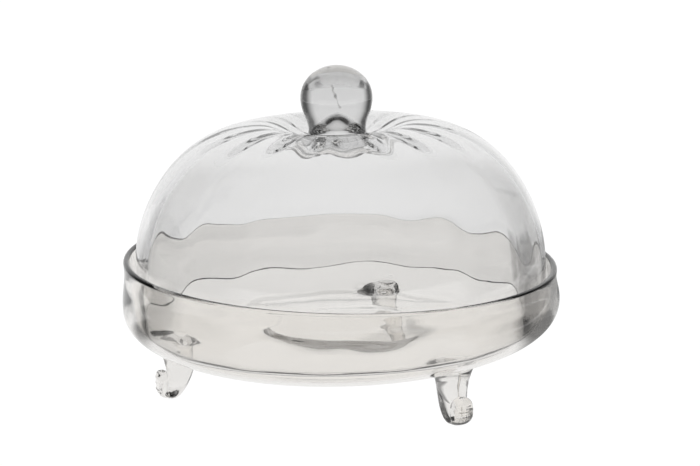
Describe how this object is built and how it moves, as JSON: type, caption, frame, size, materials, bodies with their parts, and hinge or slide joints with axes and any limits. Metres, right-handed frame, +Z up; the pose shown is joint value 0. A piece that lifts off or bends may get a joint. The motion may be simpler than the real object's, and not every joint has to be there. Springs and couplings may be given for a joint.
{
  "type": "cake stand with dome",
  "caption": "Clear blown-glass cake stand: a shallow dish on three feet with folded toes, covered by a loose optic-panelled dome that lifts off by its ball knob.",
  "frame": {"origin": "table level, under the middle of the dish", "axes": "+Z up, -Y towards the pictured front, +X to the viewer's right"},
  "size_m": [0.31, 0.31, 0.2283],
  "materials": {
    "clear_glass": "fire-polished, clear and nearly colourless"
  },
  "bodies": {
    "stand": {"dish": "clear_glass", "left_foot": "clear_glass", "right_foot": "clear_glass", "rear_foot": "clear_glass"},
    "cover": {"dome": "clear_glass", "knob": "clear_glass"}
  },
  "joints": [
    {"name": "dome_lift", "type": "slide", "parent": "stand", "child": "cover", "axis": [0, 0, 1], "range_m": [0, 0.2]}
  ]
}
